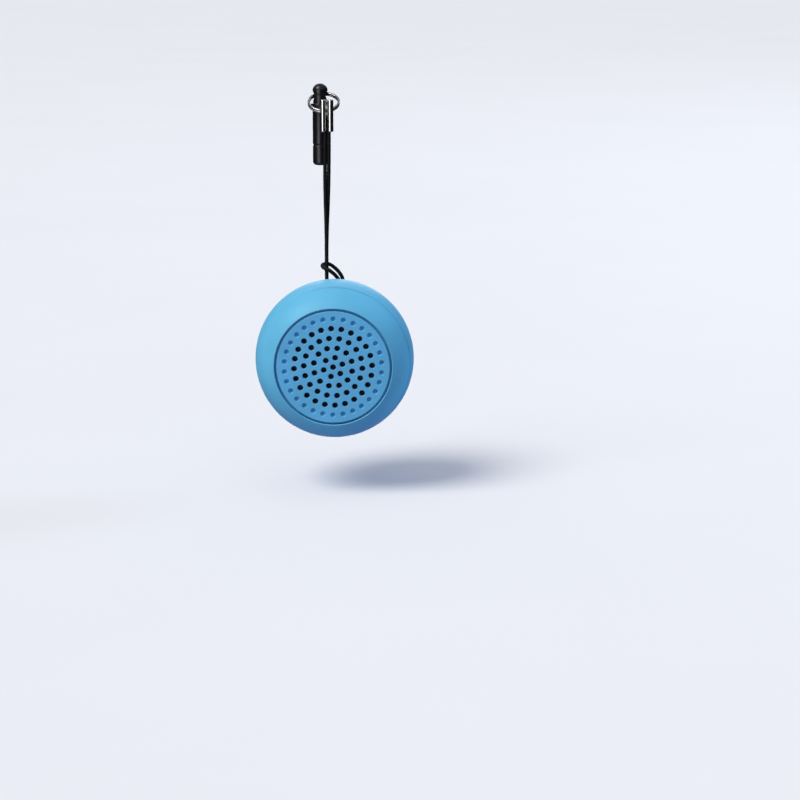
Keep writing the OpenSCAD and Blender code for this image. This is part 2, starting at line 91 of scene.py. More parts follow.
# ---------------------------------------------------------------- sizes that several pieces share, in mm
BALL_R = 18.0                     # the ball's skin
CORE = 10.8                       # depth of the ball's centre behind the grille's face
RIM_R = 13.15                     # the shell's rim round the grille
SEAM = 5.4                        # depth of the seam between the two shells
SEAM_R = math.sqrt(BALL_R * BALL_R - (CORE - SEAM) ** 2)
COVER_BACK, COVER_FRONT = 24.8, 23.6
GRILLE_R, GRILLE_T = 12.65, 1.2
POCKET_W, POCKET_L = 9.0, 5.0     # the strap pocket, across and along the pin
CORD_R = 0.43                     # the cord, over its braid
ROLL_X, ROLL_R, ROLL_Y = 0.82, 0.68, EYE_Y - 1.0
STRAND_X, STRAND_Y = 0.45, ROLL_Y + 0.15


def row(x, y, z):
    """A point of the frame, given in mm."""
    return V(x * MM, y * MM, z * MM)


def ball(x, y, depth):
    """A point of the ball, in mm from the middle of the grille's face: right, down and back."""
    return V((BALL_X + x) * MM, (FACE_Y + depth) * MM, (BALL_Z - y) * MM)


CENTRE = ball(0, 0, CORE)


def make_camera():
    """Looks at the ball from slightly above, and from slightly to its right."""
    view_width, distance, sensor = 182.23, 500.0, 36
    turn, rise = math.radians(2.0), math.radians(11.2)
    ball_left, ball_up = 14.8, 9.66
    back = V(math.sin(turn) * math.cos(rise), -math.cos(turn) * math.cos(rise), math.sin(rise))
    right = V(math.cos(turn), math.sin(turn), 0)
    up = back.cross(right)
    eye = CENTRE + back * distance * MM
    aim = CENTRE + right * (ball_left * MM) - up * (ball_up * MM)
    camera = link(bpy.data.objects.new("camera", bpy.data.cameras.new("camera")))
    camera.location = eye
    camera.rotation_mode = "QUATERNION"
    camera.rotation_quaternion = (aim - eye).to_track_quat("-Z", "Y")
    camera.data.sensor_width = sensor
    camera.data.lens = sensor * distance / view_width
    camera.data.clip_start = 0.01
    camera.data.clip_end = 20
    bpy.context.scene.camera = camera


# ---------------------------------------------------------------- objects and their finish
def link(ob):
    bpy.context.collection.objects.link(ob)
    return ob


def solid(name, bm):
    """An object made from a closed bmesh, with its faces turned outwards."""
    bmesh.ops.recalc_face_normals(bm, faces=bm.faces)
    return sheet(name, bm)


def sheet(name, bm):
    """An object made from a bmesh as it is."""
    mesh = bpy.data.meshes.new(name)
    bm.to_mesh(mesh)
    bm.free()
    return link(bpy.data.objects.new(name, mesh))


def dress(ob, body, material, node, smooth):
    """Gives a piece its material and its shading, and lets it stand for its CAD node."""
    mesh = ob.data
    mesh.materials.clear()
    mesh.materials.append(material)
    mesh.shade_smooth()
    mesh.set_sharp_from_angle(angle=math.radians(smooth))
    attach(ob, body)
    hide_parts(node)
    return ob


def keep_flat(ob):
    """Sharpens the outline of every face that looks straight forward or back, so it shades flat."""
    flat = set()
    for face in ob.data.polygons:
        if abs(face.normal.y) > 0.9999:
            flat.update(face.edge_keys)
    for edge in ob.data.edges:
        if edge.key in flat:
            edge.use_edge_sharp = True


def boolean(ob, tool, operation):
    """Joins a second closed solid to the first, or cuts it out. The second one is used up."""
    modifier = ob.modifiers.new("cut", "BOOLEAN")
    modifier.operation = operation
    modifier.solver = "EXACT"
    modifier.object = tool
    graph = bpy.context.evaluated_depsgraph_get()
    mesh = bpy.data.meshes.new_from_object(ob.evaluated_get(graph))
    ob.modifiers.clear()
    old = ob.data
    ob.data = mesh
    bpy.data.meshes.remove(old)
    bpy.data.objects.remove(tool)


# ---------------------------------------------------------------- outlines and surfaces
def ease(t):
    """Runs from 0 to 1 with a level start and a level end."""
    return t * t * (3 - 2 * t)


def arc(cx, cy, r, start, end, steps):
    angles = [math.radians(start + (end - start) * i / steps) for i in range(steps + 1)]
    return [(cx + r * math.cos(a), cy + r * math.sin(a)) for a in angles]


def circle_points(r, count, cx=0, cy=0):
    angles = [2 * math.pi * k / count for k in range(count)]
    return [(cx + r * math.cos(a), cy + r * math.sin(a)) for a in angles]


def rectangle(left, right, low, high):
    return [(left, low), (right, low), (right, high), (left, high)]


def rounded_rect(w, h, r, steps=6):
    x, y = w / 2 - r, h / 2 - r
    points = []
    for cx, cy, start in ((x, y, 0), (-x, y, 90), (-x, -y, 180), (x, -y, 270)):
        points += arc(cx, cy, r, start, start + 90, steps)
    return points


def subdivided(points, longest):
    """Adds points along the straight sides of a closed outline, so that it can follow a curved skin."""
    out = []
    for i, (x0, y0) in enumerate(points):
        x1, y1 = points[(i + 1) % len(points)]
        count = max(1, math.ceil(math.hypot(x1 - x0, y1 - y0) / longest))
        out += [(x0 + (x1 - x0) * k / count, y0 + (y1 - y0) * k / count) for k in range(count)]
    return out


def filleted(corners, radii, steps):
    """Rounds the corners of a closed polygon. radii is one number, or one for each corner."""
    out = []
    for i, corner in enumerate(corners):
        radius = radii if isinstance(radii, (int, float)) else radii[i]
        if not radius:
            out.append(tuple(corner))
            continue
        here, before, after = Vector(corner), Vector(corners[i - 1]), Vector(corners[(i + 1) % len(corners)])
        to_before, to_after = (before - here).normalized(), (after - here).normalized()
        half_angle = to_before.angle(to_after) / 2
        cut = min(radius / math.tan(half_angle), 0.49 * (before - here).length, 0.49 * (after - here).length)
        radius = cut * math.tan(half_angle)
        middle_point = here + (to_before + to_after).normalized() * (radius / math.sin(half_angle))
        spoke = here + to_before * cut - middle_point
        total = spoke.angle_signed(here + to_after * cut - middle_point)
        for k in range(steps + 1):
            turned = spoke.copy()
            turned.rotate(Matrix.Rotation(-total * k / steps, 2))
            out.append(tuple(middle_point + turned))
    return out


def ring_grid(bm, rings, round_again=True, caps=True):
    """Faces between rings of points. round_again joins each ring's end to its start."""
    rows = [[bm.verts.new(point) for point in ring] for ring in rings]
    count = len(rows[0])
    for a, b in zip(rows, rows[1:]):
        for k in range(count if round_again else count - 1):
            j = (k + 1) % count
            bm.faces.new((a[k], a[j], b[j], b[k]))
    if caps:
        bm.faces.new(rows[0][::-1])
        bm.faces.new(rows[-1])


def lathe(bm, profile, place, segments, closed=True):
    """Turns a list of (radius, height) round an axis. A point at radius 0 becomes a pole."""
    turn = circle_points(1, segments)
    rings = []
    for r, height in profile:
        spots = turn if r > 0 else [(0, 0)]
        rings.append([bm.verts.new(place(r * x, r * y, height)) for x, y in spots])
    count = len(rings) if closed else len(rings) - 1
    for i in range(count):
        a, b = rings[i], rings[(i + 1) % len(rings)]
        if len(a) == 1 and len(b) == 1:
            continue
        for k in range(segments):
            j = (k + 1) % segments
            if len(a) == 1:
                bm.faces.new((a[0], b[j], b[k]))
            elif len(b) == 1:
                bm.faces.new((a[k], a[j], b[0]))
            else:
                bm.faces.new((a[k], a[j], b[j], b[k]))


def skin_arc(start, end, steps, r=BALL_R):
    """Profile of a sphere round the ball's centre, between two depths."""
    first, last = math.acos((CORE - start) / r), math.acos((CORE - end) / r)
    angles = [first + (last - first) * i / steps for i in range(steps + 1)]
    return [(r * math.sin(a), CORE - r * math.cos(a)) for a in angles]


def plate(outer, holes, front, back, bevel):
    """Flat plate of the ball with rounded edges, between two depths. Outlines are lists of (x, y)."""
    curve = bpy.data.curves.new("plate", "CURVE")
    curve.dimensions = "2D"
    curve.fill_mode = "BOTH"
    curve.extrude = (back - front) / 2 - bevel
    curve.bevel_depth = bevel
    curve.bevel_resolution = 3
    curve.offset = -bevel
    for points in [outer] + holes:
        spline = curve.splines.new("POLY")
        spline.points.add(len(points) - 1)
        for point, (x, y) in zip(spline.points, points):
            point.co = (x, y, 0, 1)
        spline.use_cyclic_u = True
    ob = link(bpy.data.objects.new("plate", curve))
    mesh = bpy.data.meshes.new_from_object(ob.evaluated_get(bpy.context.evaluated_depsgraph_get()))
    bpy.data.objects.remove(ob)
    bpy.data.curves.remove(curve)
    for vertex in mesh.vertices:
        vertex.co = ball(vertex.co.x, vertex.co.y, (front + back) / 2 + vertex.co.z)
    bm = bmesh.new()
    bm.from_mesh(mesh)
    bpy.data.meshes.remove(mesh)
    bmesh.ops.remove_doubles(bm, verts=bm.verts, dist=1e-8)
    return bm


# ---------------------------------------------------------------- material nodes
def new_material(name):
    """A material, its nodes, its shader and its texture coordinates in mm."""
    material = bpy.data.materials.new(name)
    material.use_nodes = True
    tree = material.node_tree
    place = tree.nodes.new("ShaderNodeTexCoord")
    vector = mapped(tree, place.outputs["Object"], (1 / MM, 1 / MM, 1 / MM))
    return material, tree, tree.nodes["Principled BSDF"], vector


def mapped(tree, vector, scale, turn=(0, 0, 0)):
    node = tree.nodes.new("ShaderNodeMapping")
    node.inputs["Scale"].default_value = scale
    node.inputs["Rotation"].default_value = turn
    tree.links.new(vector, node.inputs["Vector"])
    return node.outputs["Vector"]


def noise(tree, vector, scale, detail=3, rough=0.55):
    node = tree.nodes.new("ShaderNodeTexNoise")
    node.inputs["Scale"].default_value = scale
    node.inputs["Detail"].default_value = detail
    node.inputs["Roughness"].default_value = rough
    tree.links.new(vector, node.inputs["Vector"])
    return node.outputs["Fac"]


def ranged(tree, value, low, high, to_low=0.0, to_high=1.0):
    node = tree.nodes.new("ShaderNodeMapRange")
    node.inputs["From Min"].default_value = low
    node.inputs["From Max"].default_value = high
    node.inputs["To Min"].default_value = to_low
    node.inputs["To Max"].default_value = to_high
    tree.links.new(value, node.inputs["Value"])
    return node.outputs["Result"]


def mixed(tree, factor, first, second):
    """Mixes two colours, each a tuple or a node's output. The factor is a number or a node's output."""
    node = tree.nodes.new("ShaderNodeMix")
    node.data_type = "RGBA"
    factor_socket, first_socket, second_socket, result_socket = 0, 6, 7, 2
    for socket, colour in ((first_socket, first), (second_socket, second)):
        if isinstance(colour, tuple):
            node.inputs[socket].default_value = (*colour, 1)
        else:
            tree.links.new(colour, node.inputs[socket])
    if isinstance(factor, float):
        node.inputs[factor_socket].default_value = factor
    else:
        tree.links.new(factor, node.inputs[factor_socket])
    return node.outputs[result_socket]


def product(tree, first, second):
    node = tree.nodes.new("ShaderNodeMath")
    node.operation = "MULTIPLY"
    tree.links.new(first, node.inputs[0])
    tree.links.new(second, node.inputs[1])
    return node.outputs[0]


def bump(tree, shader, height, distance, strength):
    """Adds a relief over any that the shader already has."""
    node = tree.nodes.new("ShaderNodeBump")
    node.inputs["Distance"].default_value = distance
    node.inputs["Strength"].default_value = strength
    tree.links.new(height, node.inputs["Height"])
    before = shader.inputs["Normal"].links
    if before:
        tree.links.new(before[0].from_socket, node.inputs["Normal"])
    tree.links.new(node.outputs["Normal"], shader.inputs["Normal"])


def scaled(colour, factor):
    return tuple(min(1, channel * factor) for channel in colour)


# ---------------------------------------------------------------- materials
def soft_touch(name, base, shade):
    """Rubber-oil finish: fine matte grain, faint handling marks, soft sheen."""
    material, tree, shader, vector = new_material(name)
    cloud = ranged(tree, noise(tree, vector, 0.12, 2), 0.35, 0.65)
    grain = noise(tree, vector, 5.0, 3, 0.6)
    marks = noise(tree, vector, 0.45, 5, 0.7)
    tone = mixed(tree, cloud, scaled(base, 1 - shade), scaled(base, 1 + shade))
    speck = mixed(tree, ranged(tree, grain, 0.25, 0.75), scaled(base, 0.96), scaled(base, 1.05))
    tree.links.new(mixed(tree, 0.4, tone, speck), shader.inputs["Base Color"])
    tree.links.new(ranged(tree, marks, 0.35, 0.7, 0.46, 0.58), shader.inputs["Roughness"])
    shader.inputs["Sheen Weight"].default_value = 0.05
    shader.inputs["Sheen Roughness"].default_value = 0.5
    shader.inputs["Sheen Tint"].default_value = (0.6, 0.85, 1, 1)
    shader.inputs["Specular IOR Level"].default_value = 0.3
    bump(tree, shader, grain, 0.000012, 0.6)
    bump(tree, shader, marks, 0.00002, 0.25)
    return material


def moulded(name, base, rough, grain=3.0, depth=0.00001, spread=0.08, specular=0.5):
    """Moulded plastic, rubber, foam or paint: an uneven tone, uneven gloss and a fine grain."""
    material, tree, shader, vector = new_material(name)
    fine = noise(tree, vector, grain, 4, 0.6)
    broad = ranged(tree, noise(tree, vector, 0.25, 3), 0.3, 0.7)
    tone = mixed(tree, broad, scaled(base, 1 - spread), scaled(base, 1 + spread))
    gloss = ranged(tree, noise(tree, vector, 0.8, 4), 0.3, 0.7, rough * 0.85, rough * 1.2)
    tree.links.new(tone, shader.inputs["Base Color"])
    tree.links.new(gloss, shader.inputs["Roughness"])
    shader.inputs["Specular IOR Level"].default_value = specular
    bump(tree, shader, fine, depth, 0.6)
    return material


def metal(name, base, rough, lines, line_scale, depth=0.000004):
    """Plated or drawn metal: light tarnish, and scratches drawn out along the lines."""
    material, tree, shader, vector = new_material(name)
    shader.inputs["Metallic"].default_value = 1.0
    tarnish = ranged(tree, noise(tree, vector, 0.9, 4, 0.6), 0.4, 0.75)
    scratch = noise(tree, mapped(tree, vector, lines), line_scale, 5, 0.7)
    tree.links.new(mixed(tree, tarnish, base, scaled(base, 0.88)), shader.inputs["Base Color"])
    tree.links.new(ranged(tree, scratch, 0.3, 0.75, rough * 0.7, rough * 1.5), shader.inputs["Roughness"])
    bump(tree, shader, scratch, depth, 0.7)
    return material


def cloth(name, base):
    """Woven acoustic cloth: two sets of threads, with the gaps between them darker."""
    material, tree, shader, vector = new_material(name)
    threads = []
    for turn in (0, math.pi / 2):
        wave = tree.nodes.new("ShaderNodeTexWave")
        wave.inputs["Scale"].default_value = 4.0
        wave.inputs["Distortion"].default_value = 0.6
        wave.inputs["Detail"].default_value = 2
        tree.links.new(mapped(tree, vector, (1, 1, 1), (0, turn, 0)), wave.inputs["Vector"])
        threads.append(wave.outputs["Fac"])
    weave = product(tree, *threads)
    tree.links.new(mixed(tree, weave, scaled(base, 0.5), scaled(base, 1.6)), shader.inputs["Base Color"])
    tree.links.new(ranged(tree, noise(tree, vector, 2), 0.3, 0.7, 0.75, 0.95), shader.inputs["Roughness"])
    bump(tree, shader, weave, 0.00003, 1.0)
    return material


def nylon(name, base):
    """Braided cord: fine filaments over the modelled strands."""
    material, tree, shader, vector = new_material(name)
    filaments = noise(tree, mapped(tree, vector, (9, 9, 1.4)), 1.6, 4, 0.6)
    worn = ranged(tree, noise(tree, vector, 0.5, 3), 0.3, 0.8, 0.0, 0.35)
    tone = mixed(tree, ranged(tree, filaments, 0.35, 0.7), scaled(base, 0.55), scaled(base, 1.9))
    tree.links.new(mixed(tree, worn, tone, scaled(base, 2.2)), shader.inputs["Base Color"])
    tree.links.new(ranged(tree, filaments, 0.3, 0.7, 0.45, 0.7), shader.inputs["Roughness"])
    shader.inputs["Sheen Weight"].default_value = 0.01
    shader.inputs["Sheen Roughness"].default_value = 0.4
    shader.inputs["Specular IOR Level"].default_value = 0.14
    bump(tree, shader, filaments, 0.00003, 0.7)
    return material


def matt_paint(name, scale, dark, light, rough):
    """Plain paint with no gloss, for the floor and the flags."""
    material, tree, shader, vector = new_material(name)
    tree.links.new(mixed(tree, noise(tree, vector, scale, 3), dark, light), shader.inputs["Base Color"])
    shader.inputs["Roughness"].default_value = rough
    shader.inputs["Specular IOR Level"].default_value = 0.0
    return material


SHELL_BLUE = soft_touch("soft_touch_blue", (0.103, 0.43, 0.655), 0.06)
# The grille's blue is the plastic's own blue, raised to make up for front light that the lamps don't give:
# painted light. The button shares it.
GRILLE_BLUE_LIFTED = soft_touch("soft_touch_grille_lifted", (0.093, 0.415, 0.69), 0.08)
BLACK = moulded("black_gloss", (0.006, 0.006, 0.007), 0.30, 4.0, 0.000006, 0.08, 0.35)
# The crimp's nickel and the ring's wire are darker than bare plated metal so that their reflections read
# dark. This is painted shade over the metals' own grey.
NICKEL_DARKENED = metal("nickel_plate_darkened", (0.50, 0.49, 0.46), 0.15, (1, 1, 0.2), 5.0)
SPRING_DARKENED = metal("spring_wire_darkened", (0.46, 0.455, 0.44), 0.17, (1, 1, 1), 7.0)
STEEL = metal("plated_steel", (0.56, 0.56, 0.57), 0.3, (0.3, 6, 6), 3.0)
CORD = nylon("nylon_cord", (0.003, 0.003, 0.0034))
CLOTH = cloth("acoustic_cloth", (0.006, 0.006, 0.008))
RUBBER = moulded("rubber_foot", (0.014, 0.014, 0.015), 0.62, 7.0, 0.00002, 0.15, 0.35)


# ---------------------------------------------------------------- the cord, on its route in part.scad
BEND = 1.9                        # bend of the cord under the strap pin
GAP, WRAP = 0.44, 0.5             # half the spacing of the two strands, above the pin and under it
STRAND_AT = BALL_X - BEND         # where the two strands run into the pocket


def main_strand(side):
    """One strand, from inside the crimp to the strap pin. The two cross once on the way."""
    twist_top, twist_end, steps = -8.0, PIN_Z + 9.5, 6
    points = [(CRIMP_X + side * STRAND_X, STRAND_Y, CRIMP_LOW + inside) for inside in (3, 1)]
    for i in range(steps + 1):
        f = i / steps
        turn = math.radians(90 * ease(f))
        points.append((CRIMP_X + (STRAND_AT - CRIMP_X) * f + side * GAP * math.cos(turn),
                       STRAND_Y + (PIN_Y - STRAND_Y) * f + side * GAP * math.sin(turn),
                       twist_top + (twist_end - twist_top) * f))
    return points + [(STRAND_AT, PIN_Y + side * GAP, PIN_Z + 6.5),
                     (STRAND_AT, PIN_Y + side * (GAP + 0.02), PIN_Z + 3.5),
                     (STRAND_AT, PIN_Y + side * WRAP, PIN_Z + 1)]


def under_pin(side):
    """Half a turn under the strap pin."""
    angles = [math.radians(22.5 * i) for i in range(9)]
    return [(BALL_X - BEND * math.cos(a), PIN_Y + side * WRAP, PIN_Z - BEND * math.sin(a)) for a in angles]


def bight_arc():
    """The bend of the cord's bight, round the two strands above the ball."""
    bend_x, bend_r, height, lean, lift = STRAND_AT + 0.5, 1.5, PIN_Z + 6.07, 0.42, 0.3
    points = []
    for degrees in range(0, 181, 30):
        across, along = math.sin(math.radians(degrees)), math.cos(math.radians(degrees))
        points.append((bend_x - bend_r * across, PIN_Y - bend_r * along,
                       height - lean * along + lift * across))
    return points


def near_pin(offsets):
    """Points given from the middle of the strap pin: right, back and up."""
    return [(BALL_X + right, PIN_Y + back, PIN_Z + up) for right, back, up in offsets]


def cord_route():
    """From one end in the crimp, down, under the pin, round the strands, and back to the other end."""
    front_leg = near_pin([(1.8, -0.6, 1.2), (1.2, -0.9, 2.7), (0.2, -1.25, 4.25), (-0.7, -1.45, 5.1)])
    back_leg = near_pin([(1.9, 0.6, 1.2), (1.8, 0.9, 2.6), (1.4, 1.15, 3.9), (0.4, 1.4, 5.2),
                         (-0.7, 1.5, 6.1)])
    points = main_strand(-1) + under_pin(-1) + front_leg + bight_arc()
    points += back_leg[::-1] + under_pin(1)[::-1] + main_strand(1)[::-1]
    return [row(*point) for point in points]


def smooth_path(points, step):
    """A smooth curve through the points, in even steps, and its length."""
    fine = []
    last = len(points) - 1
    for i in range(last):
        a, b, c, d = points[max(i - 1, 0)], points[i], points[i + 1], points[min(i + 2, last)]
        for t in [k / 12 for k in range(12)]:
            fine.append(0.5 * (2 * b + (c - a) * t + (2 * a - 5 * b + 4 * c - d) * t * t
                               + (3 * b - a - 3 * c + d) * t ** 3))
    fine.append(points[-1])
    reached = [0.0]
    for a, b in zip(fine, fine[1:]):
        reached.append(reached[-1] + (b - a).length)
    count = max(2, round(reached[-1] / step))
    path = []
    i = 0
    for k in range(count + 1):
        want = reached[-1] * k / count
        while i < len(reached) - 2 and reached[i + 1] < want:
            i += 1
        t = (want - reached[i]) / max(reached[i + 1] - reached[i], 1e-12)
        path.append(fine[i].lerp(fine[i + 1], min(t, 1)))
    return path, reached[-1]


def path_frames(path):
    """Each point of a path with two directions across it, carried along without twist."""
    side = V(1, 0, 0)
    for i, point in enumerate(path):
        ahead = (path[min(i + 1, len(path) - 1)] - path[max(i - 1, 0)]).normalized()
        side = (side - ahead * side.dot(ahead)).normalized()
        yield point, side, ahead.cross(side)


def make_cord():
    """A round braid: two families of strands wind round the cord, over and under each other."""
    sides, carriers, pitch, relief = 32, 6, 2.6, 0.07
    path, length = smooth_path(cord_route(), 0.06 * MM)
    rings = []
    for i, (point, right, up) in enumerate(path_frames(path)):
        wind = math.pi * carriers * (length / MM * i / (len(path) - 1)) / pitch
        ring = []
        for a in [2 * math.pi * k / sides for k in range(sides)]:
            left_hand = math.cos(carriers * a + wind) * 0.5 + 0.5
            right_hand = math.cos(carriers * a - wind) * 0.5 + 0.5
            r = CORD_R * (1 - relief + relief * max(left_hand, right_hand) ** 0.7)
            ring.append(point + (right * math.cos(a) + up * math.sin(a)) * r * MM)
        rings.append(ring)
    bm = bmesh.new()
    ring_grid(bm, rings)
    cord = dress(solid("cord_braid", bm), "lanyard", CORD, "lanyard_cord", 60)
    return cord, path, length


# ---------------------------------------------------------------- jack plug
def plug_profile():
    """Stem with a groove, flange, neck and knob, from the stem's end upwards."""
    stem_r, stem_top, tip_r = 1.75, -0.12, 0.85
    groove_z, groove_r, groove_out = -8.9, 0.5, 0.35
    flange_r, flange_top, low_edge, high_edge = 2.1, 0.5, 0.12, 0.16
    neck_r, neck_fillet, knob_r = 1.6, 0.2, 1.75
    knob_z = HEAD_TOP - knob_r
    start = math.degrees(math.asin(-math.sqrt(knob_r * knob_r - neck_r * neck_r) / knob_r))
    profile = [(0, STEM_END)] + arc(stem_r - tip_r, STEM_END + tip_r, tip_r, -90, 0, 8)[1:]
    profile += [(stem_r, groove_z - 0.4)] + arc(stem_r + groove_out, groove_z, groove_r, 225, 135, 5)
    profile += [(stem_r, groove_z + groove_r), (stem_r, stem_top), (stem_r + 0.07, 0.0)]
    profile += arc(flange_r - low_edge, low_edge, low_edge, -90, 0, 3)
    profile += arc(flange_r - high_edge, flange_top - high_edge, high_edge, 0, 90, 4)
    profile += arc(neck_r + neck_fillet, flange_top + neck_fillet, neck_fillet, 270, 180, 4)
    profile += [(neck_r, 1.2), (neck_r, 1.8)]
    profile += [(neck_r - 0.02, knob_z + knob_r * math.sin(math.radians(start)) - 0.12)]
    return profile + arc(0, knob_z, knob_r, start, 90, 20)[:-1] + [(0, HEAD_TOP)]


def flared_bore(mouth, end):
    """Profile of a bore that widens at both ends. mouth is one half of it, as (radius, distance)."""
    return [(0, -end)] + [(r, -distance) for r, distance in mouth[::-1]] + mouth + [(0, end)]


def make_plug():
    """The plug, with the ring's cross hole through its knob."""
    bm = bmesh.new()
    lathe(bm, plug_profile(), row, 72, closed=False)
    plug = solid("plug_body", bm)
    bore_r, wide_r, end = 1.05, 1.15, 3.2
    mouth = [(bore_r, 1.3), (bore_r + 0.02, 1.42), (bore_r + 0.07, 1.54), (wide_r, 1.6), (wide_r, end)]
    bm = bmesh.new()
    lathe(bm, flared_bore(mouth, end), lambda x, y, z: row(z, x, HOLE_Z + y), 48, closed=False)
    boolean(plug, solid("tool", bm), "DIFFERENCE")
    dress(plug, "plug", BLACK, "jack_plug", 50)


# ---------------------------------------------------------------- split ring
def make_ring():
    """Two turns of flat wire, side by side, hanging tilted from the plug's cross hole."""
    tilt, centre_x, centre_r, play = math.radians(30), 0.9, 3.4, 0.48
    centre_v = math.sqrt(centre_r ** 2 - centre_x ** 2) - play
    half_r, half_w, corner, spacing, steps = 0.25, 0.215, 0.12, 0.45, 240
    section = filleted(rectangle(-half_r, half_r, -half_w, half_w), corner, 3)
    loops = []
    for i in range(steps * 2 + 1):
        turns = i / steps
        angle = math.radians(200) + 2 * math.pi * turns
        # the wire steps across from one turn to the other where the first turn ends
        middle_w = spacing * (ease(min(max((turns - 0.9) / 0.2, 0), 1)) - 0.5)
        loop = []
        for r, w in section:
            x = centre_x + (centre_r + r) * math.cos(angle)
            down = centre_v + (centre_r + r) * math.sin(angle)
            across = middle_w + w
            loop.append(row(x, -(down * math.cos(tilt)) + across * math.sin(tilt),
                            HOLE_Z - down * math.sin(tilt) - across * math.cos(tilt)))
        loops.append(loop)
    bm = bmesh.new()
    ring_grid(bm, loops)
    dress(solid("ring_coil", bm), "ring", SPRING_DARKENED, "split_ring", 40)


# ---------------------------------------------------------------- crimp ferrule
EYE_IN = 0.95                     # the eye's bore


def round_eye(x, y, z):
    """A point of the eye, whose axis runs across the crimp."""
    return row(CRIMP_X + z, EYE_Y + x, EYE_Z + y)


def crimp_eye():
    """The closed loop at the back that hangs on the split ring."""
    inner, outer, half_width, corner = EYE_IN - 0.1, 1.45, 1.1, 0.16
    section = filleted(rectangle(inner, outer, -half_width, half_width), corner, 4)
    bm = bmesh.new()
    lathe(bm, section, round_eye, 64)
    return solid("crimp_metal", bm)


def crimp_back():
    """The flat back that joins the two rolls."""
    width, thickness, corner, behind = 1.8, 0.6, 0.2, 0.6
    outline = [(x, y + behind) for x, y in rounded_rect(width, thickness, corner, 3)]
    levels = ((CRIMP_LOW + 0.4, 0.93), (CRIMP_LOW + 0.5, 1), (CRIMP_TOP - 0.5, 1), (CRIMP_TOP - 0.4, 0.93))
    bm = bmesh.new()
    ring_grid(bm, [[row(CRIMP_X + x * k, ROLL_Y + y * k, z) for x, y in outline] for z, k in levels])
    return solid("tool", bm)


def crimp_roll(side):
    """One rolled side, slightly drawn in where it was squeezed."""
    low_edge, top_edge = 0.34, 0.3
    waist = [(ROLL_R - 0.006, CRIMP_LOW + 0.9), (ROLL_R - 0.016, CRIMP_LOW + 2.0),
             (ROLL_R - 0.008, CRIMP_LOW + 3.2), (ROLL_R, CRIMP_LOW + 4.4)]
    profile = [(0, CRIMP_LOW)] + arc(ROLL_R - low_edge, CRIMP_LOW + low_edge, low_edge, -90, 0, 7) + waist
    profile += arc(ROLL_R - top_edge, CRIMP_TOP - top_edge, top_edge, 0, 90, 7) + [(0, CRIMP_TOP)]
    bm = bmesh.new()
    lathe(bm, profile, lambda x, y, z: row(CRIMP_X + side * ROLL_X + x, ROLL_Y + y, z), 64, closed=False)
    return solid("tool", bm)


def eye_bore():
    """The eye's bore, with a rounded mouth at each end."""
    end = 3
    mouth = [(EYE_IN, 0.85), (EYE_IN + 0.03, 1.0), (EYE_IN + 0.1, 1.12), (EYE_IN + 0.1, end)]
    bm = bmesh.new()
    lathe(bm, flared_bore(mouth, end), round_eye, 64, closed=False)
    return solid("tool", bm)


def strand_bore():
    """The two strands share one oblong bore, with a flared mouth and a sloping end."""
    loops = []
    for z, r in ((-1, 0.54), (0.38, 0.54), (0.5, 0.46), (0.7, 0.44), (3.02, 0.44), (3.4, 0.12)):
        oblong = arc(STRAND_X, 0, r, -90, 90, 16) + arc(-STRAND_X, 0, r, 90, 270, 16)
        loops.append([row(CRIMP_X + x, STRAND_Y + y, CRIMP_LOW + z) for x, y in oblong])
    bm = bmesh.new()
    ring_grid(bm, loops)
    return solid("tool", bm)


def make_crimp():
    """Eye, back and two rolls joined into one piece, then bored for the ring and the cord."""
    crimp = crimp_eye()
    boolean(crimp, crimp_back(), "UNION")
    boolean(crimp, crimp_roll(-1), "UNION")
    boolean(crimp, crimp_roll(1), "UNION")
    boolean(crimp, eye_bore(), "DIFFERENCE")
    boolean(crimp, strand_bore(), "DIFFERENCE")
    dress(crimp, "lanyard", NICKEL_DARKENED, "crimp_ferrule", 35)


# ---------------------------------------------------------------- shells
def brow():
    """The wide arc between the grille's rim and the ball's skin, tangent to the skin."""
    brow_r, lip = 8.0, RIM_R + 0.15
    reach, corner = BALL_R - brow_r, math.hypot(lip, CORE)
    between = math.acos((reach ** 2 + corner ** 2 - brow_r ** 2) / (2 * reach * corner))
    meet = math.atan2(lip, CORE) + between
    centre_r, centre_depth = reach * math.sin(meet), CORE - reach * math.cos(meet)
    start = math.degrees(math.atan2(-centre_depth, lip - centre_r))
    end = math.degrees(math.atan2(-math.cos(meet), math.sin(meet)))
    return arc(centre_r, centre_depth, brow_r, start + 1.2, end, 22)


GROOVE_R = 16.6                   # bottom of the seam's groove


def make_front_shell():
    """From the grille's rim over the brow to the seam, then back along the inside."""
    spigot_r, spigot_in, spigot_end = 15.4, 14.4, 7.0
    driver_r, driver_seat, lip_r = 13.86, 2.4, 12.1
    edge = brow()
    profile = arc(RIM_R + 0.16, 0.16, 0.16, 180, 270, 4) + edge
    profile += skin_arc(edge[-1][1], SEAM - 0.36, 24)[1:]
    # the seam's groove
    profile += [(SEAM_R - 0.14, SEAM - 0.26), (SEAM_R - 0.24, SEAM - 0.19), (GROOVE_R, SEAM - 0.15)]
    # the spigot that goes into the rear shell
    profile += [(spigot_r, SEAM - 0.02), (spigot_r, spigot_end), (spigot_in, spigot_end), (spigot_in, SEAM)]
    # the steps that seat the driver and the grille
    profile += [(driver_r, SEAM), (driver_r, driver_seat), (lip_r, driver_seat)]
    profile += [(lip_r, GRILLE_T), (RIM_R, GRILLE_T)]
    bm = bmesh.new()
    lathe(bm, profile, ball, 192)
    dress(solid("front_bezel", bm), "speaker", SHELL_BLUE, "front_shell", 35)


